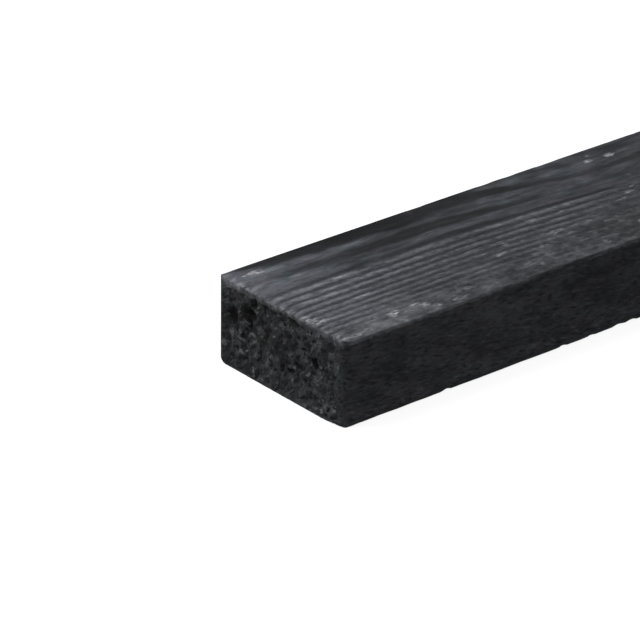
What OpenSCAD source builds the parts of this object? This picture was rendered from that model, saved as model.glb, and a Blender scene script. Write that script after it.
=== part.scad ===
// Treated timber batten: one sawn length of black pressure-treated softwood.
//
// It lies on one wide face. X runs along its length, Y across its width and Z up,
// and the origin is on the floor under the middle of the batten. The front narrow
// face is the one that faces -Y.

/* [Batten] */
// Length from one sawn end to the other
batten_length = 1800; // [600:100:4800]
// Width of the two wide faces
batten_width = 50; // [25:1:100]
// Thickness between the two wide faces
batten_thickness = 25; // [16:1:50]

/* [Edges] */
// Radius that handling has left on the two long edges of the upper face
upper_edge_radius = 0.8; // [0.2:0.1:4]
// Radius on the two long edges of the lower face, which are worn rounder
lower_edge_radius = 2.5; // [0.2:0.1:4]
// Radius on the upright edges of the sawn ends beside the front narrow face, where it is knocked
front_corner_radius = 2.5; // [0.2:0.1:4]
// Radius on the upright edges of the sawn ends beside the back narrow face
back_corner_radius = 1; // [0.2:0.1:4]
// Radius on the upper and lower edges of the sawn ends
end_rim_radius = 0.8; // [0.2:0.1:3]

/* [Hidden] */
// Sides of a full circle, in steps fine enough for a radius of a few millimetres
$fn = 32;

// Rectangle centred on the Y axis and standing on the X axis, with round corners.
// The two lower corners and the two upper corners each have their own radius.
module round_cornered_outline(width, height, lower_radius, upper_radius) {
    difference() {
        translate([-width / 2, 0])
            square([width, height]);
        for (side = [0, 1]) mirror([side, 0]) {
            translate([-width / 2, 0])
                corner_waste(lower_radius);
            translate([-width / 2, height])
                mirror([0, 1])
                    corner_waste(upper_radius);
        }
    }
}

// What a round corner takes off a square one at the origin, facing +X and +Y.
module corner_waste(radius) {
    difference() {
        square(radius);
        translate([radius, radius])
            circle(r = radius);
    }
}

// Cross-section of the batten, run along the whole length.
module sawn_section() {
    rotate([90, 0, 90])
        linear_extrude(batten_length, center = true)
            round_cornered_outline(batten_width, batten_thickness,
                                   lower_edge_radius, upper_edge_radius);
}

// Outline seen from the side, which rounds the rims of both ends.
module side_outline() {
    rotate([90, 0, 0])
        linear_extrude(batten_width, center = true)
            round_cornered_outline(batten_length, batten_thickness,
                                   end_rim_radius, end_rim_radius);
}

// Outline seen from above, which rounds the upright corners of both ends.
module plan_outline() {
    linear_extrude(batten_thickness)
        translate([0, -batten_width / 2])
            round_cornered_outline(batten_length, batten_width,
                                   front_corner_radius, back_corner_radius);
}

module batten() {
    color("#3a3b3d")
        intersection() {
            sawn_section();
            side_outline();
            plan_outline();
        }
}

batten();
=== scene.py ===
"""Treated timber batten: a rough-sawn softwood stick, pressure treated in black, on a pale floor."""

import functools
import itertools
import math

import bpy
import numpy as np
from mathutils import Matrix, Vector


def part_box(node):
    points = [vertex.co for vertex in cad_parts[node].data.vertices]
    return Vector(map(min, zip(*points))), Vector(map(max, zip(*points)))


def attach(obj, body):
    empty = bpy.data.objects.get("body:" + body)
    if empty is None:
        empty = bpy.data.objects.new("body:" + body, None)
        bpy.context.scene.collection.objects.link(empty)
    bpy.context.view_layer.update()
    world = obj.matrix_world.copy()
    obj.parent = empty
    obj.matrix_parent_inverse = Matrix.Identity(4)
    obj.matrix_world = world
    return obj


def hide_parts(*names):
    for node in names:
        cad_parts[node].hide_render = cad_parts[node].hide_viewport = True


bl_info = {
    "name": "Treated Timber Batten",
    "version": (1, 0, 0),
    "blender": (4, 5, 0),
    "location": "View3D > Sidebar > Batten",
    "description": "Saws and finishes a black treated softwood batten and sets it on a pale floor",
    "category": "Add Mesh",
}

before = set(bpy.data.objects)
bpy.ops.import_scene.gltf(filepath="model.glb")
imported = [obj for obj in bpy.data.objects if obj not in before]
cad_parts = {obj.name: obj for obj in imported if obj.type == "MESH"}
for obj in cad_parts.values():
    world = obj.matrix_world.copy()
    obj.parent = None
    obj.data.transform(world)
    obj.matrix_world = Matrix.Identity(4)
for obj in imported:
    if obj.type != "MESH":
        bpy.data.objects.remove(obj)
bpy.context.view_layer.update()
MM = 0.001
LOWEST, HIGHEST = (np.array(corner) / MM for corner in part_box("batten"))
# Length, width and thickness in millimetres. Places on the timber are given in millimetres from its
# near lower front corner: along the grain, across the width to the back, and up.
LENGTH, WIDTH, THICKNESS = (float(side) for side in HIGHEST - LOWEST)


def linear(hex_colour):
    """Linear red, green, blue and alpha of an sRGB hex colour."""
    channels = (int(hex_colour[n : n + 2], 16) / 255 for n in (1, 3, 5))
    return (*(c / 12.92 if c <= 0.04045 else ((c + 0.055) / 1.055) ** 2.4 for c in channels), 1.0)


# ---------------------------------------------------------------- random fields

# Odd numbers that mix the bits of a seed and of a cell's place, how far bits are shifted, the largest number
# that comes out, and how far apart the seeds of two fields are
SEED_MIXER = 0x9E3779B1
CELL_MIXERS = (0x85EBCA77, 0xC2B2AE3D, 0x27D4EB2F)
SHIFT = 15
LARGEST = 0xFFFFFFFF
SEEDS_APART = 10
# Random fields: size of one hump along the grain, across and up, in millimetres, and how many sizes there
# are, each half the one before. Fibres and tears are as fine as the mesh can carry, so coarser than real.
FIELDS = {
    "ring drift": ((70, 9, 9), 2),
    "edge wear": ((12, 1, 1), 3),
    "edge nicks": ((5, 1, 1), 2),
    "rim wear": ((3, 2.8, 2.8), 2),
    "torn edge": ((9, 4, 4), 3),
    "fibres": ((9, 0.9, 0.9), 2),
    "tears": ((4.0, 1.6, 1.6), 2),
    "flakes": ((1.6, 2.6, 2.2), 2),
    "pits": ((2.4, 1.7, 2.1), 2),
    "clouds": ((60, 12, 12), 3),
    "band edge": ((14, 5, 5), 3),
    "stir along": ((7, 3, 3), 2),
    "stir across": ((7, 3, 3), 2),
    "rubs": ((6, 2.2, 2.2), 3),
    "corner wear": ((4, 4, 4), 2),
    "gouge across": ((2, 1.3, 1.3), 2),
    "gouge up": ((2, 1.3, 1.3), 2),
    "rim rub": ((2, 2.2, 2.2), 2),
    "rim bites": ((2.4, 2.4, 2.4), 2),
    "blotches": ((9, 4, 4), 2),
}


def random_at(cells, seed):
    """Repeatable random number from -1 to 1 for each whole-number cell."""
    limit = np.uint64(LARGEST)
    mixed = np.full(cells.shape[:-1], seed * SEED_MIXER & LARGEST, np.uint64)
    for axis, factor in enumerate(CELL_MIXERS):
        mixed = (mixed ^ (cells[..., axis].astype(np.uint64) & limit)) * np.uint64(factor) & limit
        mixed ^= mixed >> np.uint64(SHIFT)
    return mixed / (LARGEST // 2) - 1


def humps(places, size, seed):
    """Smooth random field from -1 to 1, whose humps are about size millimetres along each axis."""
    scaled = places / np.array(size, float)
    cells = np.floor(scaled).astype(np.int64)
    fade = scaled - cells
    fade = fade * fade * (3 - 2 * fade)
    total = 0
    for corner in itertools.product((0, 1), repeat=3):
        weight = np.prod(np.where(corner, fade, 1 - fade), axis=-1)
        total = total + weight * random_at(cells + np.array(corner), seed)
    return total


def rough(places, name):
    """Sum of ever finer humps of one of the fields, from about -1 to 1."""
    size, octaves = FIELDS[name]
    seed = SEEDS_APART * list(FIELDS).index(name)
    total = 0
    for octave in range(octaves):
        finer = 0.5**octave
        total = total + finer * humps(places, np.array(size) * finer, seed + octave)
    return total


def ease(low, high, value):
    """Goes smoothly from 0 at low to 1 at high."""
    t = np.clip((value - low) / (high - low), 0, 1)
    return t * t * (3 - 2 * t)


def bump_at(value, centre, size):
    """Round hump of height 1 at centre, fading out at about size."""
    return np.exp(-(((value - centre) / size) ** 2))


def along_path(x, path):
    """Values that go smoothly from point to point of a path. A point starts with its place along."""
    points = np.array(path, float)
    step = np.clip(np.searchsorted(points[:, 0], x) - 1, 0, len(points) - 2)
    start, finish = points[step], points[step + 1]
    share = ease(start[:, 0], finish[:, 0], x)[:, None]
    return (start + share * (finish - start))[:, 1:].T


# ---------------------------------------------------------------- shape of the timber

# Distance in millimetres below which a point lies on an edge's axis, so that nothing is divided by 0
TINY = 1e-9
# Gaps between the lines of points beside an edge, in millimetres, from the edge inwards
EDGE_STEPS = (0.25, 0.3, 0.4, 0.5)
# Gap between the lines that run along the grain
LINE_STEP = 0.5
# Gap between the rows that run round the stick: in the run beside the near end, how long that run is, how
# the gap grows from there, its widest, and how much is left free before the rows of the far end
ROW_STEP = 1.0
FINE_RUN = 142
ROW_GROWTH = 1.12
WIDEST_ROW_STEP = 24.0
LEFT_FREE = 36.0
# Path of the tree's heart through the stick: along, then its place across and its height
HEART_PATH = (
    (0, 44.6, 2.7),
    (50, 44.5, 2.7),
    (125, 41, 2.9),
    (420, 44.5, 3.8),
    (900, 37.5, 1.8),
    (1350, 42.5, 3.4),
    (1800, 39.5, 2.2),
)
# How far the rings stray from round, in millimetres, and how much the flat grain follows the heart
RING_DRIFT = 0.22
GRAIN_FOLLOW = 1.3
# Wear of the long edges: how far apart in the random fields two of them are, how much their radius varies,
# which values of the field are nicks, and how deep those go into the low and upper edges
EDGES_APART = 40.0
EDGE_WEAR = 0.08
NICKS = (0.45, 1.0)
LOW_NICK = 0.8
UPPER_NICK = 0.25
# Shares of the radii below that the upper back edge and the low rims of the ends keep
BACK_EDGE = 0.35
LOW_RIM = 0.75
# How far the upper face sags towards its worn rims at the ends and its worn front edge, and how far each
# sag reaches. How much they vary, how deep they are felt, and how far from the back edge the first is full.
RIM_SAG = 0.35
RIM_SAG_REACH = 5.0
FRONT_SAG = 0.45
FRONT_SAG_REACH = 4.0
SAG_STIR = 0.4
SAG_DEPTH = 4.0
SAG_START = 6.0
# Front corners, which are knocked round at the foot: what that adds to the radii of the upright edge and
# of the low rim beside it, and how far along the rim it reaches
KNOCKED_CORNER = 1.8
KNOCKED_RIM = 1.6
KNOCK_REACH = 5.0


def lines_across(size):
    """Places of the lines of points across a face: close beside its two edges, even between them."""
    rim = np.cumsum((0,) + EDGE_STEPS)
    count = round((size - 2 * rim[-1]) / LINE_STEP) + 1
    return np.concatenate([rim[:-1], np.linspace(rim[-1], size - rim[-1], count), size - rim[-2::-1]])


def rows_along():
    """Places of the rows of points: close at the near end, wide in the middle, closer at the far end."""
    near = list(np.cumsum((0,) + EDGE_STEPS))
    far = list(near)
    near += list(np.arange(near[-1] + ROW_STEP, FINE_RUN, ROW_STEP))
    step = ROW_STEP
    while step < WIDEST_ROW_STEP:
        far.append(far[-1] + step)
        step *= ROW_GROWTH**2
    step = ROW_STEP
    while near[-1] < LENGTH - far[-1] - LEFT_FREE:
        step = min(step * ROW_GROWTH, WIDEST_ROW_STEP)
        near.append(near[-1] + step)
    return np.array(near + [LENGTH - place for place in reversed(far)])


ROWS = rows_along()


def box_lattice(rows, columns, layers):
    """Points on the surface of a box lattice, and for each of its six faces the axis, side and quads."""
    counts = (len(rows), len(columns), len(layers))
    where = np.indices(counts)
    surface = np.zeros(counts, bool)
    for axis, count in enumerate(counts):
        surface |= (where[axis] == 0) | (where[axis] == count - 1)
    number = np.full(counts, -1)
    number[surface] = np.arange(surface.sum())
    x, y, z = (axis[where[n][surface]] for n, axis in enumerate((rows, columns, layers)))
    faces = []
    for axis, side in itertools.product(range(3), (0, -1)):
        sheet = np.take(number, side, axis=axis)
        corners = (sheet[:-1, :-1], sheet[1:, :-1], sheet[1:, 1:], sheet[:-1, 1:])
        quads = np.stack(corners, -1).reshape(-1, 4)
        turned = (side == 0) != (axis == 1)
        faces.append((axis, side, quads[:, ::-1] if turned else quads))
    return np.stack([x, y, z], -1), faces


def growth_rings(places, timber):
    """Growth ring number at each place: whole numbers are the dark end of a year's growth."""
    across, up = along_path(places[:, 0], HEART_PATH)
    radius = np.hypot(places[:, 1] - across, places[:, 2] - up) + RING_DRIFT * rough(places, "ring drift")
    ring = (radius - timber.heart_radius / MM) / (timber.ring_width / MM)
    return np.where(ring < 0, ring * timber.ring_width / timber.heart_ring_width, ring)


def hollows(ring):
    """1 in the hollow at the dark end of each year's growth, and 0 on the raised line between two."""
    return 0.5 + 0.5 * np.cos(2 * math.pi * ring)


def pulled_in(one, other, one_size, other_size, radius):
    """Pulls points that lie outside a rectangle's round corners straight in onto them."""
    beyond = one - np.clip(one, radius, one_size - radius)
    over = other - np.clip(other, radius, other_size - radius)
    pull = np.minimum(radius / np.maximum(np.hypot(beyond, over), TINY), 1) - 1
    return one + pull * beyond, other + pull * over


def rounded(places, timber):
    """Rounds the edges of the square stick as wear has: the long ones, then the upright and level ones."""
    x, y, z = places.T
    low = z < THICKNESS / 2
    front = y < WIDTH / 2
    # each long edge has wear of its own, which changes only along it
    along = np.stack([x, EDGES_APART * (front + 2 * low), np.zeros(len(x))], -1)
    nicks = ease(*NICKS, rough(along, "edge nicks"))
    long_edge = np.where(low, timber.lower_edge, timber.upper_edge) / MM
    long_edge = long_edge * np.where(low | front, 1, BACK_EDGE)
    long_edge = long_edge * (1 + EDGE_WEAR * rough(along, "edge wear"))
    long_edge = long_edge + np.where(low, LOW_NICK, UPPER_NICK) * nicks
    upright = np.where(front, timber.front_corner, timber.back_corner) / MM
    upright = upright + KNOCKED_CORNER * front * (1 - z / THICKNESS)
    rim = timber.end_rim / MM * np.where(low, LOW_RIM, 1) + KNOCKED_RIM * low * bump_at(y, 0, KNOCK_REACH)

    y, z = pulled_in(y, z, WIDTH, THICKNESS, long_edge)
    x, y = pulled_in(x, y, LENGTH, WIDTH, upright)
    x, z = pulled_in(x, z, LENGTH, THICKNESS, rim)

    # the upper face is worn down unevenly towards its rims at the ends and its front edge
    rim_sag = RIM_SAG * np.clip(1 - np.minimum(x, LENGTH - x) / RIM_SAG_REACH, 0, 1) ** 2
    front_sag = FRONT_SAG * np.clip(1 - y / FRONT_SAG_REACH, 0, 1) ** 2
    sag = np.maximum(rim_sag * ease(0, SAG_START, WIDTH - y), front_sag)
    sag = sag * (1 + SAG_STIR * rough(places, "rim wear"))
    z = z - sag * ease(THICKNESS - SAG_DEPTH, THICKNESS, z)
    return np.stack([x, y, z], -1)


# ---------------------------------------------------------------- surface of the timber

# Depths of the relief in millimetres: sawn fibres, torn fibres of the upper face and of the narrow faces,
# broken flakes and pits of the ends
FIBRE_DEPTH = 0.03
TEAR_DEPTH = 0.1
NARROW_TEAR_DEPTH = 0.05
FLAKE_DEPTH = 0.16
PIT_DEPTH = 0.3
# Share of the relief that is left right at an edge, and shares of the raised grain that torn grain and the
# inner wood hide. Ring numbers between which the inner wood, with flat grain, gives way to the outer wood.
EDGE_CALM = 0.2
TORN_HIDES = 0.6
INNER_HIDES = 0.8
OUTER_WOOD = (-0.3, 0.3)
# Gaps between rows that carry all of the finest tears and none of them
FINE_ROWS = (1.5, 6)
# Pits and flakes of the ends: values of the random field that start and end a pit, how far from an edge pits
# and flakes begin, how much of the flakes a worn corner has lost, and how dark a pit is painted, partly for
# its darker colour and partly as painted shade
PITS = (0.5, 1.0)
PIT_START = 0.4
FLAKE_START = 0.2
WORN_FLAKES = 0.8
PIT_SHADE = 0.5
# How much of the gouges' depth below is cut, the rest being only painted shade, black in the colour, how
# noise moves their outlines, and how steep their sides are
GOUGE_SHARE = 0.5
GOUGE_STIR = 0.7
GOUGE_STEEPNESS = 1.5
# Gouges torn out of the near end: across and up, then how wide, high and deep each is
END_GOUGES = (
    (36.5, 21.6, 0.8, 1.5, 2.2),
    (38.1, 18.3, 1.9, 1.6, 3.2),
    (38, 15.3, 0.7, 1.5, 2.6),
    (38.8, 13, 0.5, 1, 1.2),
    (40.4, 11, 1.2, 0.5, 1.4),
    (44.6, 15.4, 1.4, 2.2, 2),
    (46.6, 15.8, 1, 0.6, 1.2),
    (44.2, 19.6, 0.7, 1, 0.9),
    (31.8, 22.2, 0.7, 1.4, 1.4),
    (12.3, 14.8, 1, 1.4, 2.2),
    (12.8, 11.3, 0.7, 0.7, 1.4),
    (11.8, 10.5, 1, 0.4, 1.1),
    (18.7, 11.3, 1.3, 0.6, 1.6),
    (21.5, 8.6, 1, 0.5, 1.4),
    (25, 8.3, 0.7, 1.3, 1.7),
    (28, 6, 0.9, 0.6, 1.2),
    (42.8, 6.8, 0.8, 0.8, 1.1),
    (33.4, 8.6, 0.5, 1.2, 0.9),
    (30, 14.7, 0.6, 0.5, 1),
    (24, 20.7, 0.6, 0.6, 1),
    (16.6, 16.7, 0.9, 0.5, 1),
    (13.3, 22.5, 0.5, 0.8, 0.9),
    (7.6, 17, 0.4, 0.8, 0.8),
    (3.6, 20.8, 0.8, 0.5, 0.8),
    (20, 22.6, 1.6, 0.9, 0.8),
)
# Strip of torn grain along the front of the upper face: along, then how wide it is
TORN_STRIP = (
    (0, 5),
    (30, 6.5),
    (50, 9),
    (70, 12.5),
    (90, 15),
    (108, 25),
    (130, 30),
    (260, 17),
    (480, 26),
    (700, 12),
    (980, 22),
    (1300, 10),
    (1600, 20),
    (1800, 14),
)
# How soft and how uneven the strip's outline is, in millimetres, how much less torn its back part is, and
# from where to where across that comes in
STRIP_SOFTNESS = 4
STRIP_STIR = 3
STRIP_BACK = 0.3
STRIP_BACK_REACH = (12, 22)
# How torn the front part of the face is all along, and from where to where across that comes in
FRONT_TORN = 0.45
FRONT_TORN_REACH = (24, 9)
# Soft marks of the upper face that are paler (above 0) or darker than the rest: along and across, then how
# long and how wide each is, and how much it changes the tone
UPPER_MARKS = (
    # beside the sawn end, and the pale streaks of the flat grain behind it
    (0, 43, 7, 6, 0.75),
    (3, 45.2, 5, 1.8, 0.4),
    (0, 49.6, 4, 0.9, -0.3),
    (15, 49.6, 5, 0.9, -0.35),
    (86, 49.7, 13, 0.9, -0.4),
    (14, 43.8, 15, 1.6, 0.75),
    (26, 44.2, 8, 1, 0.5),
    (21, 45.2, 5, 0.7, 0.4),
    (38.5, 43, 4, 1, 1),
    (2.5, 38, 2, 0.8, 1.5),
    (0.5, 46, 2, 3, 0.4),
    (10, 36.6, 2.4, 0.8, 1.3),
    (15, 37.3, 2.8, 0.8, 1.7),
    (7, 35.6, 11, 2.6, 0.95),
    (23, 35, 8, 1.8, 0.3),
    (13, 39.6, 8, 0.9, -0.3),
    (39, 35, 4, 1, 0.35),
    (61, 43.4, 9, 1.4, -0.2),
    (57, 41.8, 5, 0.8, -0.2),
    (55, 34.2, 3.5, 0.9, 0.65),
    (58.5, 36.4, 3, 0.6, 0.9),
    (67, 35, 6, 1.2, 0.45),
    (77, 34.3, 4, 0.9, 0.4),
    (83, 42, 2.6, 1.2, 0.7),
    (89, 40.4, 5, 1, 0.45),
    (95, 38, 4, 1.2, 0.3),
    (103.5, 33.8, 2.4, 1, 1),
    (104, 34.6, 5, 1.8, 0.4),
    (122, 35.4, 11, 1.2, 0.3),
    (130, 35.6, 4, 1.2, 0.3),
    (106.6, 34.4, 1.6, 0.8, 0.6),
    (113.5, 36, 1.8, 1.8, 0.55),
    (97, 46.8, 5, 1, 0.5),
    (109.5, 44, 3.5, 1.3, 0.7),
    (109, 48.8, 2, 1, 1.2),
    (117, 48, 3, 0.9, 0.6),
    (134.5, 43.6, 2.5, 0.8, 0.8),
    (62, 48.6, 1, 0.9, 1.6),
    # the first raised lines beside the flat grain
    (12, 29.8, 14, 1, 0.45),
    (5, 26.8, 5, 0.8, 0.3),
    (23, 30, 5, 0.8, 0.4),
    (32.5, 29.2, 4, 1.6, -0.35),
    (18, 26.5, 17, 0.9, 0.4),
    (31, 26.5, 3, 0.7, 0.3),
    (47.5, 26.5, 3, 0.7, 0.35),
    (18, 23.4, 18, 0.9, 0.3),
    (12, 20.5, 12, 0.9, 0.2),
    (20.5, 17.7, 4, 0.7, 0.6),
    (43, 12.4, 6, 0.5, 0.5),
    (29, 10, 4, 0.5, 0.4),
    (37, 11, 5, 0.9, -0.3),
    (70, 27.6, 5, 1, -0.3),
    (70, 22, 20, 9, -0.12),
    (112, 21, 14, 9, -0.35),
    (96.5, 45.2, 3, 0.9, 0.8),
    (103, 46.2, 3.5, 2.4, -0.45),
    (115, 45.4, 4.5, 1.7, -0.55),
    (121, 43.6, 4, 0.9, 0.5),
    (124, 42.2, 12, 1.1, 0.45),
    (134, 46.8, 9, 2.4, -0.65),
    (124, 49.8, 16, 0.7, 0.35),
    # the torn strip
    (38, 1.2, 15, 1.2, 0.25),
    (0, 14, 5, 5, 0.4),
    (26, 4.5, 8, 2, 0.25),
    (66, 7, 26, 9, -0.25),
    (102, 7, 12, 7, -0.35),
)
# Dark bands of the upper face where the saw ran flat along a ring: along, then across to the band's
# middle, half its width and how much it darkens
DARK_BANDS = (
    (
        (0, 52, 1, 0.4),
        (7, 50, 2.4, 0.72),
        (20, 49.2, 3.4, 0.78),
        (32, 49, 4.1, 0.82),
        (42, 48.5, 4.8, 0.84),
        (60, 48, 4.7, 0.8),
        (76, 47.3, 3.9, 0.72),
        (84, 46.4, 3, 0.7),
        (90, 44.7, 2.4, 0.68),
        (96, 43, 1.6, 0.62),
        (104, 41.4, 1.4, 0.5),
        (110, 39.8, 1.3, 0.48),
        (120, 38.9, 1.4, 0.42),
        (134, 38.3, 1.4, 0.58),
        (220, 44, 3, 0.5),
        (420, 36, 1.5, 0.4),
        (760, 47, 3, 0.6),
        (1200, 40, 2, 0.4),
        (1800, 46, 3, 0.5),
    ),
    (
        (0, 40, 0.6, 0.1),
        (28, 39, 1.6, 0.3),
        (42, 38.6, 2.6, 0.55),
        (58, 38.8, 2.6, 0.68),
        (76, 37.6, 2, 0.6),
        (92, 35.6, 1.3, 0.4),
        (108, 33, 0.8, 0.2),
        (300, 30, 2, 0.3),
        (640, 24, 2, 0.4),
        (1000, 33, 2.6, 0.3),
        (1800, 30, 2, 0.4),
    ),
    (
        (0, 32.2, 0.3, 0.2),
        (18, 32.2, 0.5, 0.4),
        (34, 32.3, 0.8, 0.35),
        (55, 32.2, 1.1, 0.5),
        (72, 31.3, 1, 0.55),
        (90, 29.5, 0.7, 0.5),
        (110, 27.8, 0.6, 0.5),
        (124, 25.8, 0.6, 0.3),
        (200, 20, 0.6, 0),
    ),
)
# Small spots where the black is rubbed off the upper face: along, across, how long, how wide, how bare
RUBBED_SPOTS = (
    (6.8, 45.4, 2.6, 0.8, 0.7),
    (9.2, 44.5, 1.2, 0.7, 0.5),
    (23, 29.8, 3.4, 0.6, 0.4),
    (1.6, 18, 1.3, 0.8, 0.5),
    (1, 15.5, 1.4, 0.9, 0.7),
    (3, 13.2, 2.4, 0.9, 0.8),
    (20.5, 17.7, 3, 0.5, 0.5),
    (19.4, 4.8, 1.5, 1, 1.05),
    (21.4, 5.8, 0.9, 0.6, 0.7),
    (28.3, 5.8, 1.2, 0.7, 1),
    (29.6, 4.3, 1.6, 0.8, 0.9),
    (32.7, 2.2, 1, 0.7, 0.8),
    (24.2, 4, 1.8, 0.6, 0.5),
    (13.6, 6, 2, 0.6, 0.45),
    (8.6, 2.6, 1.2, 0.7, 0.5),
    (4.6, 1.8, 2.4, 0.7, 0.5),
    (1.6, 3.6, 1, 1.4, 0.5),
    (42.6, 5.4, 2.8, 1, 0.5),
    (39.4, 2, 2.6, 0.7, 0.55),
    (48.8, 1.7, 1.3, 0.8, 0.65),
    (53.2, 9.8, 2, 0.6, 0.4),
    (63.3, 14.5, 0.8, 0.6, 1.7),
    (65.2, 14.5, 0.8, 0.6, 0.8),
    (61, 17.2, 2.4, 0.6, 0.35),
    (66.5, 5.3, 2, 1, 0.5),
    (69.6, 3.8, 1, 0.8, 0.5),
    (69.4, 19, 1, 1.4, 0.55),
    (72.6, 9, 1.8, 0.9, 0.6),
    (75.6, 11.4, 2.4, 0.8, 0.65),
    (75, 7, 1.8, 0.9, 0.5),
    (80.5, 13.8, 1.8, 0.7, 0.5),
    (74, 16.7, 1.2, 0.7, 0.45),
    (76.3, 28.3, 0.9, 0.7, 0.5),
    (84, 28.2, 1, 0.7, 0.5),
    (84.6, 25.2, 1.7, 0.8, 0.7),
    (85, 16, 2.2, 0.9, 0.7),
    (88.4, 13.3, 1.5, 0.7, 0.5),
    (87.2, 8, 1.8, 1.2, 0.35),
    (90.5, 21.4, 1.1, 0.8, 0.5),
    (90.6, 27.2, 1, 0.5, 0.4),
    (92.6, 16, 1.4, 0.6, 0.4),
    (97.4, 16, 1.2, 0.7, 0.4),
    (95.6, 24.4, 1.6, 0.8, 0.4),
    (99.6, 26.5, 0.8, 0.6, 0.8),
    (101, 12.6, 1.6, 0.6, 0.7),
    (103.4, 10.6, 1.8, 0.6, 0.7),
    (107.4, 12, 1, 0.6, 0.6),
    (105, 13.2, 0.8, 0.5, 0.6),
    (97, 9, 1, 0.7, 0.4),
    (107, 7.3, 1.2, 0.7, 1),
    (91.2, 3, 1.2, 1.2, 0.5),
    (99.4, 1.2, 1.4, 0.7, 0.4),
    (112.6, 20.4, 1.8, 0.7, 0.9),
    (118, 22.6, 1.2, 0.9, 1.5),
    (121, 25, 1.4, 0.6, 0.5),
    (122.8, 43.9, 1.2, 0.8, 1),
    (124.6, 46.3, 0.8, 0.6, 0.6),
    (130, 43.5, 1.3, 0.8, 2.2),
    (98.6, 46.2, 1.2, 0.7, 0.3),
)
# Marks of the front narrow face: along and up, then as for the upper face
FRONT_MARKS = (
    (39, 6.5, 1.6, 3, 0.4),
    (48.5, 5.5, 1.8, 2.4, 0.3),
    (31.5, 8.8, 2.6, 0.7, 0.5),
    (54, 3.6, 2, 0.8, 0.5),
    (66, 7, 6, 3, 0.2),
    (15, 15, 9, 3.5, -0.12),
    (84, 19, 12, 1.8, -0.35),
    (94, 14, 12, 6, -0.25),
    (81, 18, 5, 0.7, -0.5),
    (14, 20.6, 5, 0.6, -0.45),
    (34, 9.5, 3, 0.7, 0.3),
    (8, 21.5, 12, 2, 0.15),
    (24, 18, 24, 6, 0.1),
)
# Marks of the near end: across and up, then how wide and high each is, and how much it changes the tone. The
# paler marks are pale spots; the darker ones are painted shade.
END_MARKS = (
    (41.1, 6.7, 0.9, 0.5, 3),
    (42, 11.8, 1.6, 0.6, 1.1),
    (35, 6.9, 0.7, 0.5, 1.3),
    (22.2, 20.3, 1, 0.5, 1.4),
    (24.7, 19.2, 0.5, 0.6, 1.2),
    (11.4, 19.9, 0.8, 0.6, 1.4),
    (7, 15.3, 0.7, 0.5, 2.4),
    (9.4, 14.6, 0.6, 0.8, 0.8),
    (21.8, 10.4, 0.6, 0.5, 1.4),
    (3.4, 14, 0.6, 0.9, 0.7),
    (11.6, 1.8, 1, 0.4, 1.2),
    (15.2, 4.2, 0.8, 0.6, 1),
    (28.6, 2.2, 0.7, 0.7, 0.8),
    (29.5, 20.8, 0.5, 0.5, 1),
    (46.5, 22, 1.6, 1.2, 0.35),
    (46, 24.2, 5, 1, 0.8),
    (38.6, 22.6, 1.4, 1.2, 0.7),
    # the marks below that darken the end are painted shade
    (42, 3.6, 1.8, 1.6, -0.45),
    (45.5, 13.5, 2.4, 2.4, -0.35),
    (36.4, 4.6, 1.8, 0.9, -0.35),
    (25.8, 13, 2.2, 1.2, -0.3),
    (17, 19, 2.2, 0.9, -0.25),
    (7.2, 9.2, 1, 1.2, -0.35),
    (8.5, 5.5, 3, 2.4, 0.3),
    (15, 9.5, 1.6, 3, -0.25),
)
# How much noise changes the width of the dark bands, and how soft their outlines are: at least, in
# millimetres, and as a share of half the width on top
BAND_STIR = 0.3
BAND_SOFTNESS = 0.3
BAND_SOFTENING = 0.15
# Least and greatest tone, and how much clouds and blotches change it
TONE_RANGE = (0.15, 5)
CLOUDS = 0.1
BLOTCHES = 0.16
# How much paler the upper face is beside the near end, and from where to where along that fades out
END_TONE = 0.55
END_TONE_REACH = (10, 36)
# How much noise moves the outlines of those marks, along and across, in millimetres
STIR = (0.9, 0.35)
# How much paler the foot of the front narrow face is, as painted light thrown back up by the floor, its
# height and half its width
FOOT_BOUNCE_LIGHT = 0.6
FOOT_HEIGHT = 3.9
FOOT_WIDTH = 2.3
# Painted highlight just below the upper rim of the near end, where the rounded rim faces the lamp: how much
# paler the end is there, and from where to where down that fades out
RIM_HIGHLIGHT = 1.0
RIM_HIGHLIGHT_REACH = (0.5, 2.0)
# How bare the upper rim of the near end is rubbed, how far that reaches, and which values of its random
# field give none and all of it. Then the same for stray rubs, which start past the spots above.
RIM_RUB = 0.3
RIM_RUB_REACH = 1.8
RIM_RUB_VALUES = (-0.5, 0.8)
STRAY_RUB = 0.8
STRAY_RUB_START = (132, 150)
STRAY_RUB_VALUES = (0.95, 1.35)
# How much further the finish of the upper face runs down over the ends, what its back corner adds to that
# and over what width, how much it varies, and from where to where down it ends
RIM_OVERLAP = 0.95
CORNER_OVERLAP = 1.6
CORNER_OVERLAP_REACH = 7.0
RIM_BITE = 0.35
OVERLAP_END = (2.0, 4.0)
# How torn the grain is beside the rims of the ends, and how far along that reaches
RIM_TORN = 0.6
RIM_TORN_REACH = 3.0
# How far from an edge its wear still shows, and how far a worn front corner reaches, in millimetres, what
# share of that is wholly worn, and how uneven its outline is
EDGE_REACH = 2.0
CORNER_REACH = 4.0
CORNER_CORE = 0.3
CORNER_STIR = 1.5


def marks(one, other, table):
    """Sum of the soft marks in a table, at each place on a face."""
    total = np.zeros(len(one))
    for centre, other_centre, size, other_size, strength in table:
        total = total + strength * bump_at(one, centre, size) * bump_at(other, other_centre, other_size)
    return total


def stirred(places):
    """Places along and across, moved a little, which gives uneven outlines to what is drawn there."""
    x, y, _ = places.T
    return x + STIR[0] * rough(places, "stir along"), y + STIR[1] * rough(places, "stir across")


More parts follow.
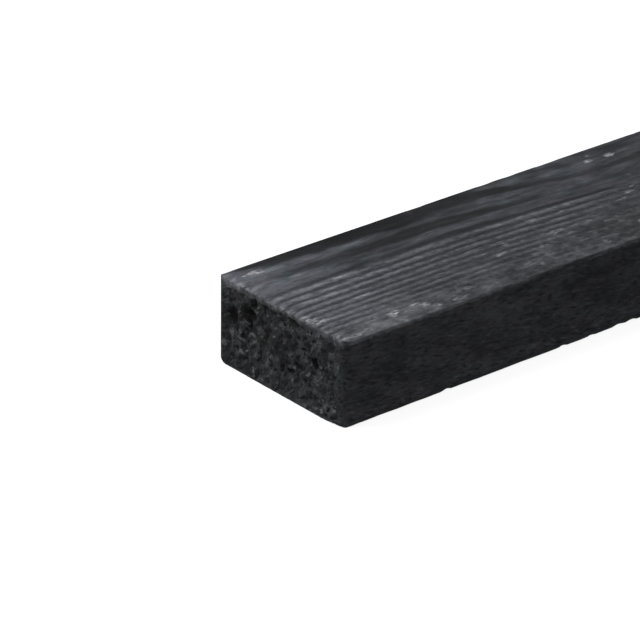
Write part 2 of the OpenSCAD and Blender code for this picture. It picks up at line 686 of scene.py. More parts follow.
def tones_and_painted_light(places, near_end, front, upper):
    """How pale each place is, next to the plain finish, painted light and painted shade included. The last
    three say how much each face shows.
    """
    x, _, z = places.T
    moved_x, moved_y = stirred(places)
    moved_z = z + STIR[1] * rough(places, "stir along")
    top = 1 + marks(moved_x, moved_y, UPPER_MARKS) + END_TONE * (1 - ease(*END_TONE_REACH, x))
    for band in DARK_BANDS:
        middle, half_width, darkening = along_path(x, band)
        inside = half_width * (1 + BAND_STIR * rough(places, "band edge")) - abs(moved_y - middle)
        softness = BAND_SOFTNESS + BAND_SOFTENING * half_width
        top = top * (1 - darkening * ease(-softness, softness, inside))
    # the foot of the front face gets painted light, as if thrown back up by the floor
    side = 1 + marks(moved_x, moved_z, FRONT_MARKS) + FOOT_BOUNCE_LIGHT * bump_at(z, FOOT_HEIGHT, FOOT_WIDTH)
    # just below its upper rim the near end gets a painted highlight, as if the rounded rim caught the lamp
    cut = 1 + marks(moved_y, moved_z, END_MARKS) + RIM_HIGHLIGHT * (1 - ease(*RIM_HIGHLIGHT_REACH, THICKNESS - z))
    tone = np.clip(1 + upper * (top - 1) + front * (side - 1) + near_end * (cut - 1), *TONE_RANGE)
    return tone * (1 + CLOUDS * rough(places, "clouds") + BLOTCHES * rough(places, "blotches"))


def end_relief(places, to_side, worn_corner):
    """Depth of the broken flakes, pits and gouges of the sawn ends, and how dark each place is painted in
    its pits and gouges: painted shade, and for the pits also their darker colour.
    """
    x, y, z = places.T
    pits = ease(*PITS, rough(places, "pits")) * ease(PIT_START, EDGE_REACH, to_side) * (1 - worn_corner)
    moved_y = y + GOUGE_STIR * rough(places, "gouge across")
    moved_z = z + GOUGE_STIR * rough(places, "gouge up")
    gouges = np.zeros(len(x))
    for across, up, across_size, up_size, depth in END_GOUGES:
        reach = ((moved_y - across) / across_size) ** 2 + ((moved_z - up) / up_size) ** 2
        gouge = depth * np.exp(-(reach**GOUGE_STEEPNESS))
        gouges = np.maximum(gouges, np.where(x < LENGTH / 2, gouge, 0))
    broken = FLAKE_DEPTH * ease(FLAKE_START, EDGE_REACH, to_side) * (1 - WORN_FLAKES * worn_corner)
    broken = broken * (1 + rough(places, "flakes"))
    depth = broken + PIT_DEPTH * pits + GOUGE_SHARE * gouges
    return depth, np.clip(PIT_SHADE * pits + gouges, 0, 1)


def rubbed_bare(places):
    """How far the black is rubbed off the upper face: at the spots, and here and there beyond them."""
    x = places[:, 0]
    bare = marks(*stirred(places), RUBBED_SPOTS)
    rim = bump_at(x, 0, RIM_RUB_REACH) * ease(*RIM_RUB_VALUES, rough(places, "rim rub"))
    stray = ease(*STRAY_RUB_VALUES, rough(places, "rubs")) * ease(*STRAY_RUB_START, x)
    return bare + RIM_RUB * rim + STRAY_RUB * stray


def surface(places, points, outward, timber):
    """Depth of the relief in millimetres, and the values that colour the finish, at each point."""
    x, y, z = places.T
    end, narrow, wide = (outward**2).T
    upper = wide * (z > THICKNESS / 2)
    ring = growth_rings(points, timber)
    inner_wood = 1 - ease(*OUTER_WOOD, ring)
    to_narrow, to_wide = np.minimum(y, WIDTH - y), np.minimum(z, THICKNESS - z)
    to_side = np.minimum(to_narrow, to_wide)
    from_end = np.minimum(x, LENGTH - x)
    calm = EDGE_CALM + (1 - EDGE_CALM) * ease(0, EDGE_REACH, np.maximum(to_narrow, to_wide))
    from_front = y + CORNER_STIR * rough(places, "corner wear")
    worn_corner = 1 - ease(CORNER_CORE * CORNER_REACH, CORNER_REACH, from_front)

    # the closest rows carry the finest tears, which the wide rows of the middle can't
    fine = 1 - ease(*FINE_ROWS, np.interp(x, ROWS[:-1], np.diff(ROWS)))
    inside = along_path(x, TORN_STRIP)[0] - y + STRIP_STIR * rough(places, "torn edge")
    torn = ease(-STRIP_SOFTNESS, STRIP_SOFTNESS, inside) * (1 - STRIP_BACK * ease(*STRIP_BACK_REACH, y))
    torn = np.maximum(torn, FRONT_TORN * ease(*FRONT_TORN_REACH, y))
    torn = np.maximum(torn, RIM_TORN * (1 - ease(0, RIM_TORN_REACH, from_end)))
    tears = fine * (1 + rough(points, "tears"))
    fibres = FIBRE_DEPTH * (1 + rough(points, "fibres"))

    rings = timber.ridge_height / MM * hollows(ring)
    rings = rings * (1 - TORN_HIDES * torn) * (1 - INNER_HIDES * inner_wood)
    wide_depth = rings + fibres + TEAR_DEPTH * torn * tears
    narrow_depth = fibres + NARROW_TEAR_DEPTH * tears
    end_depth, pit_shade = end_relief(places, to_side, worn_corner)
    depth = calm * (wide * wide_depth + narrow * narrow_depth) + end * end_depth

    near_end = end * (x < LENGTH / 2)
    front = narrow * (y < WIDTH / 2)
    drift = GRAIN_FOLLOW * (along_path(x, HEART_PATH)[0] - HEART_PATH[0][1])
    corner_overlap = CORNER_OVERLAP * ease(WIDTH - CORNER_OVERLAP_REACH, WIDTH, y)
    overlap = RIM_OVERLAP + corner_overlap + RIM_BITE * rough(places, "rim bites")
    overlap = overlap * (1 - ease(*OVERLAP_END, THICKNESS - z))
    values = {
        "ring": ring,
        "torn": torn * upper + end * (z > THICKNESS / 2),
        # the tone carries painted light on the foot of the front face and below the near end's upper rim,
        # and painted shade from the darker end marks
        "tone": tones_and_painted_light(places, near_end, front, upper),
        "rubbed": upper * rubbed_bare(places),
        "pit_shade": end * pit_shade,
        "worn_corner": worn_corner,
        # how far the grain has run across the stick, in metres
        "drift": drift * MM,
        # millimetres past the edge, on to a wide face or an end
        "onto_wide": np.clip(to_narrow - to_wide + corner_overlap * near_end, -EDGE_REACH, EDGE_REACH),
        "onto_end": np.clip(to_side - from_end - overlap, -EDGE_REACH, EDGE_REACH),
    }
    return depth, values


# Square map that a bake of the finish fills: left, bottom, width and height of the room for each end and
# each stretch of the stick. The near end and the stretch beside it are drawn larger than the rest.
END_ROOMS = {0: (0.5, 0.75, 0.5, 0.25), -1: (0.5, 0.5, 0.5, 0.25)}
STRETCH_ROOMS = ((0.0, 0.5, 0.5, 0.5), (0.0, 0.25, 1.0, 0.25), (0.0, 0.0, 1.0, 0.25))
# Where the stretches meet along the stick, in millimetres, and the bare margin of each room
STRETCH_SPLITS = (150, 975)
ROOM_MARGIN = 0.004
# Order of the four long faces round the stick, by axis and side, and the gap between two of them
ROUND_THE_STICK = ((2, 0), (1, 0), (2, -1), (1, -1))
FACE_GAP = 2.0


def in_room(room, across, up):
    """Places on the map of points given as shares of a room."""
    left, bottom, width, height = (np.array(side)[..., None] for side in room)
    u = left + ROOM_MARGIN + across * (width - 2 * ROOM_MARGIN)
    v = bottom + ROOM_MARGIN + up * (height - 2 * ROOM_MARGIN)
    return np.stack([u, v], -1)


def baking_map(places, faces):
    """Place on the bake's map of each corner of each quad, with no two faces over each other."""
    splits = ROWS[np.searchsorted(ROWS, STRETCH_SPLITS)]
    starts = np.array([0, *splits])
    lengths = np.diff([0, *splits, LENGTH])
    girth = 2 * (WIDTH + THICKNESS + 2 * FACE_GAP)
    reached = 0
    begins = {}
    for axis, side in ROUND_THE_STICK:
        begins[axis, side] = reached
        reached += FACE_GAP + (WIDTH if axis == 2 else THICKNESS)
    corners = []
    for axis, side, quads in faces:
        x, y, z = np.moveaxis(places[quads], -1, 0)
        if axis == 0:
            corners.append(in_room(END_ROOMS[side], y / WIDTH, z / THICKNESS))
            continue
        stretch = np.searchsorted(splits, x.mean(axis=1))
        rooms = np.array(STRETCH_ROOMS)[stretch].T
        share_along = (x - starts[stretch][:, None]) / lengths[stretch][:, None]
        share_round = (begins[axis, side] + (y if axis == 2 else z)) / girth
        corners.append(in_room(rooms, share_along, share_round))
    return np.concatenate(corners)


def sawn_timber(timber):
    """Mesh of the whole stick, inside the solid's own box."""
    places, faces = box_lattice(ROWS, lines_across(WIDTH), lines_across(THICKNESS))
    quads = np.concatenate([quad for _, _, quad in faces])
    points = rounded(places, timber)
    mesh = bpy.data.meshes.new("batten_timber")
    mesh.from_pydata(points.tolist(), [], quads.tolist())
    outward = np.empty(points.size)
    mesh.vertex_normals.foreach_get("vector", outward)
    outward = outward.reshape(-1, 3)
    depth, values = surface(places, points, outward, timber)
    points = np.clip(points - outward * depth[:, None], 0, (LENGTH, WIDTH, THICKNESS))
    mesh.vertices.foreach_set("co", ((points + LOWEST) * MM).ravel())
    for name, value in values.items():
        mesh.attributes.new(name, "FLOAT", "POINT").data.foreach_set("value", value.astype(np.float32))
    mesh.uv_layers.new(name="OFBake").uv.foreach_set("vector", baking_map(places, faces).ravel())
    mesh.polygons.foreach_set("use_smooth", np.ones(len(quads), bool))
    mesh.update()
    return mesh


# ---------------------------------------------------------------- finish

# Slant of the fibres down the narrow faces, and of the shreds on the ends, which the saw laid over
FIBRE_SLANT = 0.12
SHRED_SLANT = -0.66
# Patterns of the finish: size of one hump along the grain, across it and up, in millimetres, how many
# finer sizes are added to it, and how it is turned about the length and about the width. Fuzz, tufts,
# dashes and crumbs stand for bundles of fibres: single ones, about 0.05 mm wide, would be too fine to show.
PATTERNS = {
    "streak": ((11, 2.2, 2.2), 2, (0, 0)),
    "bead": ((5, 1.7, 1.7), 2, (0, 0)),
    "fuzz": ((1.8, 0.8, 0.8), 1.5, (0, 0)),
    "tuft": ((2.6, 2.0, 2.0), 2, (0, 0)),
    "clot": ((7, 4, 4), 2, (0, 0)),
    "dash": ((2.8, 0.8, 0.8), 2, (0, FIBRE_SLANT)),
    "patch": ((11, 4, 4), 2, (0, FIBRE_SLANT)),
    "crumb": ((2.1, 2.9, 1.6), 1.4, (SHRED_SLANT, 0)),
    "stir": ((2.4, 3.0, 2.0), 2, (SHRED_SLANT, 0)),
    "heap": ((4, 4.2, 3.0), 1, (SHRED_SLANT, 0)),
    "tint": ((9, 5, 5), 1, (0, 0)),
}
# How strong each finer size of a pattern is, next to the one before
FINER_STRENGTH = 0.6
# Size of the lumps of the sawn ends, in millimetres, and how far their outlines are stirred
LUMP_SIZE = (3.0, 3.9, 2.3)
LUMP_STIR = 3.2
# Values that the worn mesh carries
WORN = ("ring", "torn", "tone", "rubbed", "pit_shade", "worn_corner", "drift", "onto_wide", "onto_end")
# Masks made from a pattern or a worn value: its values that give the first and the last number
MASKS = {
    "beading": ("bead", (0.3, 0.7), (0.25, 1.15)),
    "wavering": ("bead", (0.3, 0.7), (-0.09, 0.09)),
    "outer_wood": ("ring", OUTER_WOOD, (0, 1)),
    "streaky": ("streak", (0.35, 0.65), (0, 1)),
    "tufts": ("tuft", (0.45, 0.7), (0, 1)),
    "clots": ("clot", (0.4, 0.65), (0, 1)),
    "torn_cover": ("torn", (0, 1), (0, 0.85)),
    "fuzzing": ("fuzz", (0.3, 0.7), (-0.5, 0.5)),
    "dashes": ("dash", (0.54, 0.7), (0, 1)),
    "notches": ("dash", (0.46, 0.32), (0, 1)),
    "worn_patches": ("patch", (0.42, 0.68), (0, 0.6)),
    "shreds": ("crumb", (0.37, 0.63), (0, 1.25)),
    "specks": ("crumb", (0.43, 0.36), (0, 1)),
    "crumbly": ("clot", (0.4, 0.58), (0.15, 1)),
    "heaps": ("heap", (0.3, 0.7), (0, 1.5)),
    # crumbs of the ends: pale fibre, and painted glints
    "crumbs_and_glints": ("crumb", (0.58, 0.7), (0, 1)),
    "ragged": ("crumb", (0.3, 0.7), (-0.45, 0.45)),
    "tints": ("tint", (0.3, 0.7), (0, 1)),
}
# The same for what is worked out on the way: the values that give none and all, and the numbers that those
# get if they aren't 0 and 1. They are the rubbed spots, the pale lips of the lumps, the painted shade of the
# cracks between them and of the holes of the pits, and where the finishes of the wide faces and of the ends
# begin.
SPOT = (0.1, 1.3)
LIP = (0.3, 0.12, 0, 0.3)
CRACK_SHADE = (0.2, 0.04, 0, 1.3)
SHADED_HOLE = (0.35, 0.8)
ONTO_WIDE = (-1.2, -0.8)
ONTO_END = (0.45, 1.0)
# Pairs by which a value is multiplied and then raised: how hollow a ring is, for its tone, the fuzz that
# breaks up the rubbed spots, a lump's random number, for its tone, how torn the grain is, for its fuzz, and
# the outer wood, for its share of the even tint
RING_TONE = (-0.6, 0.55)
SPOT_TUFTS = (1.7, 0.95)
LUMP_TONE = (0.9, 0.35)
FUZZ_TONE = (0.15, 0.3)
RING_TINT = (0.7, 0.3)
# How much fuzz the rings carry, the share of tufts next to clots, how shredded the ends are where they
# aren't crumbly, how far the rings bite into the line beside the ends, and the even tint of the rings
RING_FUZZ = 0.3
TUFT_SHARE = 0.55
PLAIN_SHREDS = 0.6
RING_BITE = 0.05
EVEN_TINT = 0.5
# Heights of what is finer than the mesh, in millimetres: streaks, fuzz by how torn the grain is, crumbs and
# the fall from the middle of a lump to its outline
STREAK_HEIGHT = 0.1
FUZZ_HEIGHT = (0.1, 0.05)
CRUMB_HEIGHT = 0.6
LUMP_FALL = -0.2
# Settings of a node that mixes colours, with the output that gives them
IN_COLOUR = {"data_type": "RGBA", "out": 2}


def add_node(tree, kind, inputs=(), out=0, **settings):
    """Adds one shader node with its settings. Its inputs, by name, by number or in order, take values or
    other nodes' outputs. Gives the output that is asked for."""
    made = tree.nodes.new("ShaderNode" + kind)
    for name, value in settings.items():
        setattr(made, name, value)
    for key, value in inputs.items() if isinstance(inputs, dict) else enumerate(inputs):
        if isinstance(value, bpy.types.NodeSocket):
            tree.links.new(value, made.inputs[key])
        else:
            made.inputs[key].default_value = value
    return made.outputs[out] if made.outputs else made


def limits(low, high, least=0, most=1):
    """Inputs that take values from low to high to numbers from least to most."""
    return {"From Min": low, "From Max": high, "To Min": least, "To Max": most}


def grain_values(add):
    """The worn values, the patterns and the masks, by name."""
    grain = {name: add("Attribute", out="Fac", attribute_name=name) for name in WORN}
    grain["place"] = add("TexCoord", out="Object")
    # the patterns follow the grain as it runs across the stick
    across = add("CombineXYZ", {"Y": grain["drift"]})
    along_grain = add("VectorMath", (grain["place"], across), operation="SUBTRACT")
    for number, (name, (size, detail, turns)) in enumerate(PATTERNS.items()):
        scale = [MM * side for side in size]
        apart = {"Location": (number,) * 3, "Rotation": (*turns, 0), "Scale": scale}
        sized = add("Mapping", {"Vector": along_grain, **apart}, vector_type="TEXTURE")
        noise = {"Vector": sized, "Scale": 1, "Detail": detail, "Roughness": FINER_STRENGTH}
        grain[name] = add("TexNoise", noise)
    for name, (source, span, numbers) in MASKS.items():
        grain[name] = add("MapRange", {"Value": grain[source], **limits(*span, *numbers)})
    # 1 in the hollow at the dark end of each year's growth, and -1 on the ridge between two
    turn = add("Math", (grain["ring"], grain["wavering"]))
    turn = add("Math", (turn, 2 * math.pi), operation="MULTIPLY")
    grain["hollow"] = add("Math", (turn,), operation="COSINE")
    return grain


def wide_face(add, grain, finish):
    """Colour of the wide faces."""
    # growth rings: dark hollows between paler ridges, which are beaded and carry short bright fibres
    ridge = add("Math", (grain["hollow"], *RING_TONE), operation="MULTIPLY_ADD")
    ridge = add("Math", (ridge, grain["beading"]), operation="MULTIPLY")
    ridge = add("Math", (grain["fuzzing"], RING_FUZZ, ridge), operation="MULTIPLY_ADD")
    lines = add("Mix", {0: ridge, 6: finish.dark_ring, 7: finish.pale_ring}, **IN_COLOUR)
    flat = add("Mix", {0: grain["streaky"], 6: finish.flat_dark, 7: finish.flat_pale}, **IN_COLOUR)
    face = add("Mix", {0: grain["outer_wood"], 6: flat, 7: lines}, **IN_COLOUR)

    # torn grain: clots and tufts that hide the rings
    tufts = add("Mix", {0: TUFT_SHARE, 2: grain["clots"], 3: grain["tufts"]}, data_type="FLOAT")
    torn = add("Mix", {0: tufts, 6: finish.torn_dark, 7: finish.torn_pale}, **IN_COLOUR)
    face = add("Mix", {0: grain["torn_cover"], 6: face, 7: torn}, **IN_COLOUR)

    # rubbed spots, which break up into tufts
    spot = add("Math", (grain["fuzzing"], *SPOT_TUFTS), operation="MULTIPLY_ADD")
    spot = add("Math", (spot, grain["rubbed"]), operation="MULTIPLY")
    spot = add("MapRange", {"Value": spot, **limits(*SPOT)})
    return add("Mix", {0: spot, 6: face, 7: finish.rubbed}, **IN_COLOUR)


def narrow_face(add, grain, finish):
    """Colour of the narrow faces: short dashes along the fibres, dark and pale, and paler patches."""
    face = add("Mix", {0: grain["worn_patches"], 6: finish.side_body, 7: finish.side_pale}, **IN_COLOUR)
    face = add("Mix", {0: grain["notches"], 6: face, 7: finish.side_dark}, **IN_COLOUR)
    return add("Mix", {0: grain["dashes"], 6: face, 7: finish.side_pale}, **IN_COLOUR)


def sawn_end(add, grain, finish):
    """Colour of the sawn ends, with painted shade in their cracks and holes and painted glints among their
    crumbs, and how far each point is from the middle of its lump.
    """
    # lumps of shredded fibre, each with a tone and with shares of lips and gaps of its own
    stir = grain["stir"].node.outputs["Color"]
    stirred = add("VectorMath", (stir, (LUMP_STIR * MM,) * 3, grain["place"]), operation="MULTIPLY_ADD")
    scale = [MM * side for side in LUMP_SIZE]
    turned = {"Vector": stirred, "Rotation": (SHRED_SLANT, 0, 0), "Scale": scale}
    cell = {"Vector": add("Mapping", turned, vector_type="TEXTURE"), "Scale": 1}
    lump = add("TexVoronoi", cell).node.outputs
    crack = add("TexVoronoi", cell, feature="DISTANCE_TO_EDGE")
    shade, lips, gaps = add("SeparateColor", (lump["Color"],)).node.outputs
    tone = add("Math", (shade, *LUMP_TONE), operation="MULTIPLY_ADD")
    shreds = add("Mix", {0: grain["crumbly"], 2: PLAIN_SHREDS, 3: grain["shreds"]}, data_type="FLOAT")
    tone = add("Math", (tone, shreds), operation="MULTIPLY")
    tone = add("Math", (tone, grain["heaps"]), operation="MULTIPLY")
    face = add("Mix", {0: tone, 6: finish.end_dark, 7: finish.end_body}, **IN_COLOUR)

    # pale lips, and pale crumbs of fibre that also stand in for glints as painted highlights
    lip = add("MapRange", {"Value": crack, **limits(*LIP)})
    lip = add("Math", (lip, lips), operation="MULTIPLY")
    crumbs_and_glints = add("Math", (grain["crumbs_and_glints"], grain["crumbly"]), operation="MULTIPLY")
    for pale in (lip, crumbs_and_glints):
        face = add("Mix", {0: pale, 6: face, 7: finish.end_pale}, **IN_COLOUR)

    # painted shade: black in the cracks between the lumps, in specks and in the holes of the pits and gouges
    crack_shade = add("MapRange", {"Value": crack, **limits(*CRACK_SHADE)})
    for share in (gaps, grain["crumbly"]):
        crack_shade = add("Math", (crack_shade, share), operation="MULTIPLY")
    shaded_hole = add("Math", (grain["pit_shade"], grain["ragged"]))
    shaded_hole = add("MapRange", {"Value": shaded_hole, **limits(*SHADED_HOLE)})
    for black in (grain["specks"], shaded_hole):
        crack_shade = add("Math", (crack_shade, black), operation="MAXIMUM")
    return add("Mix", {0: crack_shade, 6: face, 7: finish.hole_shade}, **IN_COLOUR), lump["Distance"]


def fine_relief(add, grain, on_end, from_middle):
    """Bump for what is finer than the mesh."""
    height = add("Math", (grain["streak"], STREAK_HEIGHT), operation="MULTIPLY")
    fuzz = add("Math", (grain["torn"], *FUZZ_HEIGHT), operation="MULTIPLY_ADD")
    height = add("Math", (grain["fuzz"], fuzz, height), operation="MULTIPLY_ADD")
    intact = add("Math", (1, grain["worn_corner"]), operation="SUBTRACT")
    broken = add("Math", (on_end, intact), operation="MULTIPLY")
    grit = add("Math", (broken, CRUMB_HEIGHT), operation="MULTIPLY")
    grit = add("Math", (grit, grain["crumbly"]), operation="MULTIPLY")
    height = add("Math", (grain["crumb"], grit, height), operation="MULTIPLY_ADD")
    fall = add("Math", (from_middle, broken), operation="MULTIPLY")
    height = add("Math", (fall, LUMP_FALL, height), operation="MULTIPLY_ADD")
    return add("Bump", {"Height": height, "Distance": MM, "Strength": 1})


def treated_softwood(finish):
    """Rough-sawn softwood, pressure treated with black pigment: dull, fibrous, paler where rubbed, with some
    light and shade painted into its colour.
    """
    material = bpy.data.materials.new("black_treated_rough_sawn_softwood")
    material.use_nodes = True
    material.node_tree.nodes.clear()
    add = functools.partial(add_node, material.node_tree)
    grain = grain_values(add)
    top = wide_face(add, grain, finish)
    side = narrow_face(add, grain, finish)
    end, from_middle = sawn_end(add, grain, finish)
    end = add("Mix", {0: grain["worn_corner"], 6: end, 7: side}, **IN_COLOUR)

    # where two faces meet, the finishes meet in a ragged line, a little past the edge
    wide = add("Math", (grain["onto_wide"], grain["ragged"]))
    wide = add("MapRange", {"Value": wide, **limits(*ONTO_WIDE)})
    on_end = add("Math", (grain["hollow"], RING_BITE, grain["onto_end"]), operation="MULTIPLY_ADD")
    on_end = add("Math", (on_end, grain["ragged"]))
    on_end = add("MapRange", {"Value": on_end, **limits(*ONTO_END)})
    base = add("Mix", {0: wide, 6: side, 7: top}, **IN_COLOUR)
    base = add("Mix", {0: on_end, 6: base, 7: end}, **IN_COLOUR)

    # tones: a slight change of hue, and the tone that the worn mesh carries, painted light and shade
    # included, with fuzz, which is strongest in the torn grain
    ringed = add("Math", (grain["outer_wood"], *RING_TINT), operation="MULTIPLY_ADD")
    ringed = add("Math", (ringed, wide), operation="MULTIPLY")
    tint = add("Mix", {0: ringed, 2: grain["tints"], 3: EVEN_TINT}, data_type="FLOAT")
    tint = add("Mix", {0: tint, 6: finish.warm_tint, 7: finish.cool_tint}, **IN_COLOUR)
    fuzz = add("Math", (grain["torn"], *FUZZ_TONE), operation="MULTIPLY_ADD")
    fuzz = add("Math", (grain["fuzzing"], fuzz, 1), operation="MULTIPLY_ADD")
    tone = add("Math", (grain["tone"], fuzz), operation="MULTIPLY")
    for part in (tint, tone):
        base = add("Mix", {0: 1, 6: base, 7: part}, blend_type="MULTIPLY", **IN_COLOUR)

    relief = fine_relief(add, grain, on_end, from_middle)
    looks = {"Base Color": base, "Normal": relief, "Roughness": 0.8, "IOR": 1.5, "Specular IOR Level": 0.1}
    add("OutputMaterial", {"Surface": add("BsdfPrincipled", looks)})
    return material


# ---------------------------------------------------------------- stage

# Strength at which white surroundings look plain white
PLAIN_WHITE = 1.0
# Width of the camera's sensor in millimetres, and the nearest and farthest that it sees, in metres
SENSOR_WIDTH = 36
NEAREST = 0.05
FARTHEST = 100


def pale_floor(stage):
    """Matt paint, lifted to white where it is seen, that keeps the batten's shadow."""
    material = bpy.data.materials.new("matt_white_painted_floor")
    material.use_nodes = True
    tree = material.node_tree
    tree.nodes.clear()
    lift = add_node(tree, "Math", (seen_rays(tree), stage.floor_lift), operation="MULTIPLY")
    glow = add_node(tree, "Emission", {"Strength": lift})
    paint = add_node(tree, "BsdfDiffuse", {"Color": stage.floor_colour})
    both = add_node(tree, "AddShader", (paint, glow))
    add_node(tree, "OutputMaterial", {"Surface": both})
    return material


def seen_rays(tree):
    """1 for rays that the eye follows, straight or by way of a shiny or clear surface, 0 for the rest."""
    seen = add_node(tree, "LightPath", out="Is Camera Ray")
    rays = seen.node.outputs
    for kind in ("Is Glossy Ray", "Is Transmission Ray"):
        seen = add_node(tree, "Math", (seen, rays[kind]), operation="MAXIMUM")
    return seen


def studio_light(stage):
    """Surroundings that light softly from all round and look plain white, and one broad lamp above and
    behind the batten."""
    world = bpy.data.worlds.new("studio")
    bpy.context.scene.world = world
    world.use_nodes = True
    tree = world.node_tree
    tree.nodes.clear()
    strengths = {0: seen_rays(tree), 2: stage.sky_strength, 3: PLAIN_WHITE}
    glow = add_node(tree, "Mix", strengths, data_type="FLOAT")
    sky = add_node(tree, "Background", {"Color": linear("#ffffff"), "Strength": glow})
    add_node(tree, "OutputWorld", {"Surface": sky})

    lamp = bpy.data.objects.new("broad_lamp", bpy.data.lights.new("broad_lamp", "SUN"))
    lamp.data.energy = stage.lamp_strength
    lamp.data.angle = stage.lamp_breadth
    lamp.rotation_euler = Vector(stage.lamp_direction).to_track_quat("Z", "Y").to_euler()
    bpy.context.collection.objects.link(lamp)


def long_lens(stage):
    """Camera that looks down along the batten from beyond its near end."""
    camera = bpy.data.objects.new("camera", bpy.data.cameras.new("camera"))
    camera.data.lens = stage.lens
    camera.data.sensor_width = SENSOR_WIDTH
    turn = (
        Matrix.Rotation(-stage.camera_azimuth, 4, "Z")
        @ Matrix.Rotation(math.pi / 2 - stage.camera_elevation, 4, "X")
        @ Matrix.Rotation(stage.camera_roll, 4, "Z")
    )
    back = Matrix.Translation((0, 0, stage.camera_distance))
    camera.matrix_world = Matrix.Translation(stage.camera_aim) @ turn @ back
    camera.data.clip_start = NEAREST
    camera.data.clip_end = FARTHEST
    bpy.context.collection.objects.link(camera)
    bpy.context.scene.camera = camera


# ---------------------------------------------------------------- settings, operators and panel


def length(name, millimetres, description):
    """Size that the sidebar shows in the scene's own unit."""
    return bpy.props.FloatProperty(
        name=name, description=description, default=millimetres * MM, unit="LENGTH", precision=4
    )


def colour(name, hex_colour, description):
    """Colour that the sidebar shows as a swatch."""
    settings = {"subtype": "COLOR", "size": 4, "min": 0, "max": 1}
    return bpy.props.FloatVectorProperty(
        name=name, description=description, default=linear(hex_colour), **settings
    )


def angle(name, degrees, description):
    """Angle that the sidebar shows in degrees."""
    return bpy.props.FloatProperty(
        name=name, description=description, default=math.radians(degrees), subtype="ANGLE"
    )


def brightness(name, value, description):
    """Plain number that says how bright a light or a surface is."""
    return bpy.props.FloatProperty(name=name, description=description, default=value)


class BattenTimber(bpy.types.PropertyGroup):
    """Sizes of the timber and its grain"""

    upper_edge: length("Upper edges", 0.45, "Radius of the long edges of the upper face")
    lower_edge: length("Lower edges", 2.0, "Radius of the long edges of the lower face")
    end_rim: length("End rims", 0.45, "Radius along the upper and lower rims of the sawn ends")
    front_corner: length("Front corners", 2.5, "Radius of the upright edges beside the front narrow face")
    back_corner: length("Back corners", 0.5, "Radius of the upright edges beside the back narrow face")
    ring_width: length("Ring width", 2.05, "Width of a year's growth in the outer wood")
    heart_ring_width: length("Heart ring width", 2.8, "Width of a year's growth near the heart")
    heart_radius: length("Heart radius", 25.9, "Distance from the pith at which the growth slows")
    ridge_height: length("Ridge height", 0.13, "Depth between the raised lines of the grain")


class BattenFinish(bpy.types.PropertyGroup):
    """Colours of the treated wood"""

    dark_ring: colour("Dark rings", "#2d2f33", "Narrow hollows between the raised lines")
    pale_ring: colour("Pale rings", "#5c5e62", "Raised lines of the grain")
    flat_dark: colour("Flat grain, dark", "#2c2e32", "Dark streaks where the saw ran flat along the rings")
    flat_pale: colour("Flat grain, pale", "#45474b", "Pale streaks where the saw ran flat along the rings")
    torn_dark: colour("Torn grain, dark", "#2f3134", "Hollows of the torn grain on the upper face")
    torn_pale: colour("Torn grain, pale", "#626467", "Tufts of the torn grain on the upper face")
    rubbed: colour("Rubbed", "#8a8b8e", "Spots where the black is rubbed off the upper face")
    side_dark: colour("Side, dark", "#15161a", "Hollows of the sawn narrow faces")
    side_body: colour("Side, body", "#2b2c2f", "Flat black of the sawn narrow faces")
    side_pale: colour("Side, pale", "#464749", "Fibres of the sawn narrow faces")
    end_dark: colour("End, dark", "#131416", "Hollows of the sawn ends")
    end_body: colour("End, body", "#333637", "Shredded fibre of the sawn ends")
    # the pale of the ends also gives the painted glints among the crumbs
    end_pale: colour("End, pale", "#737576", "Lips and crumbs of the sawn ends")
    # the black of the pits, partly their own darker colour, is also the painted shade of the gouges, cracks
    # and specks of the ends
    hole_shade: colour("Pits", "#060607", "Bottom of the pits in the sawn ends")
    warm_tint: colour("Warm tint", "#fff3f7", "Slight tint of the black where it is browner")
    cool_tint: colour("Cool tint", "#f3fefc", "Slight tint of the black where it is greener")


class BattenStage(bpy.types.PropertyGroup):
    """Floor, light and camera"""

    floor_size: length("Floor size", 60_000, "Side of the square floor")
    floor_colour: colour("Floor", "#8c8c8c", "Paint of the floor")
    floor_lift: brightness("Floor lift", 0.9, "White added where the floor is seen")
    sky_strength: brightness("Sky", 0.35, "Light from all round")
    lamp_strength: brightness("Lamp", 2.35, "Strength of the broad lamp")
    lamp_breadth: angle("Lamp breadth", 35, "How wide the lamp looks from the batten")
    lamp_direction: bpy.props.FloatVectorProperty(
        name="Lamp direction",
        description="Direction from the batten to the lamp",
        default=(-0.35, 0.35, 0.87),
        subtype="DIRECTION",
    )
    camera_aim: bpy.props.FloatVectorProperty(
        name="Camera aim",
        description="Point that the camera looks at",
        default=((LOWEST + (3.06, 13.68, THICKNESS)) * MM).tolist(),
        subtype="TRANSLATION",
    )
    camera_distance: length("Distance", 1078.8, "From the camera to the point that it looks at")
    camera_azimuth: angle("Azimuth", 40.06, "Turn of the view from straight across the batten")
    camera_elevation: angle("Elevation", 26.10, "How far the camera looks down")
    camera_roll: angle("Roll", 0.73, "Tilt of the camera about its own axis")
    lens: bpy.props.FloatProperty(
        name="Lens", description="Focal length in millimetres", default=242.51, subtype="DISTANCE_CAMERA"
    )


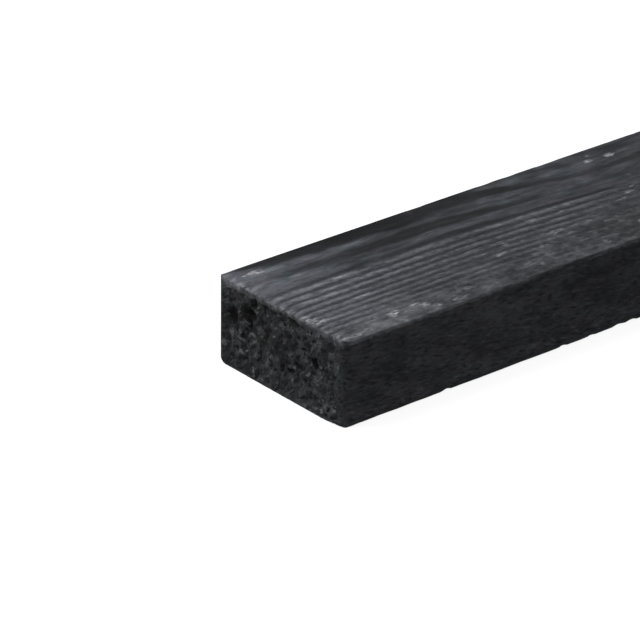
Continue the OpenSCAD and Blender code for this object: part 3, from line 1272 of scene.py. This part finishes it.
class BATTEN_OT_saw(bpy.types.Operator):
    """Saw the batten from the solid's sizes and give it its finish"""

    bl_idname = "batten.saw"
    bl_label = "Saw the batten"

    def execute(self, context):
        mesh = sawn_timber(context.scene.batten_timber)
        batten = bpy.data.objects.new("sawn_batten", mesh)
        mesh.materials.append(treated_softwood(context.scene.batten_finish))
        context.collection.objects.link(batten)
        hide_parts("batten")
        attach(batten, "root")
        return {"FINISHED"}


class BATTEN_OT_set_stage(bpy.types.Operator):
    """Lay the floor, light it and place the camera"""

    bl_idname = "batten.set_stage"
    bl_label = "Set the stage"

    def execute(self, context):
        stage = context.scene.batten_stage
        half = stage.floor_size / 2
        mesh = bpy.data.meshes.new("floor")
        corners = [(-half, -half, 0), (half, -half, 0), (half, half, 0), (-half, half, 0)]
        mesh.from_pydata(corners, [], [(0, 1, 2, 3)])
        mesh.materials.append(pale_floor(stage))
        floor = bpy.data.objects.new("floor", mesh)
        context.collection.objects.link(floor)
        studio_light(stage)
        long_lens(stage)
        context.scene.view_settings.view_transform = "Standard"
        return {"FINISHED"}


class BATTEN_PT_panel(bpy.types.Panel):
    """Sizes, colours and steps of the batten"""

    bl_idname = "BATTEN_PT_panel"
    bl_label = "Treated batten"
    bl_space_type = "VIEW_3D"
    bl_region_type = "UI"
    bl_category = "Batten"

    def draw(self, context):
        for group, operator in (
            (context.scene.batten_timber, None),
            (context.scene.batten_finish, BATTEN_OT_saw),
            (context.scene.batten_stage, BATTEN_OT_set_stage),
        ):
            column = self.layout.column(align=True)
            for name in group.__annotations__:
                column.prop(group, name)
            if operator:
                column.operator(operator.bl_idname)


CLASSES = (BattenTimber, BattenFinish, BattenStage, BATTEN_OT_saw, BATTEN_OT_set_stage, BATTEN_PT_panel)
GROUPS = {"batten_timber": BattenTimber, "batten_finish": BattenFinish, "batten_stage": BattenStage}


def register():
    """Adds the classes, and their settings to every scene."""
    for made in CLASSES:
        bpy.utils.register_class(made)
    for name, group in GROUPS.items():
        setattr(bpy.types.Scene, name, bpy.props.PointerProperty(type=group))


def unregister():
    """Takes away what register added: the settings, then the classes."""
    for name in GROUPS:
        delattr(bpy.types.Scene, name)
    for made in reversed(CLASSES):
        bpy.utils.unregister_class(made)


def main():
    register()
    bpy.ops.batten.saw()
    bpy.ops.batten.set_stage()


if __name__ == "__main__":
    main()
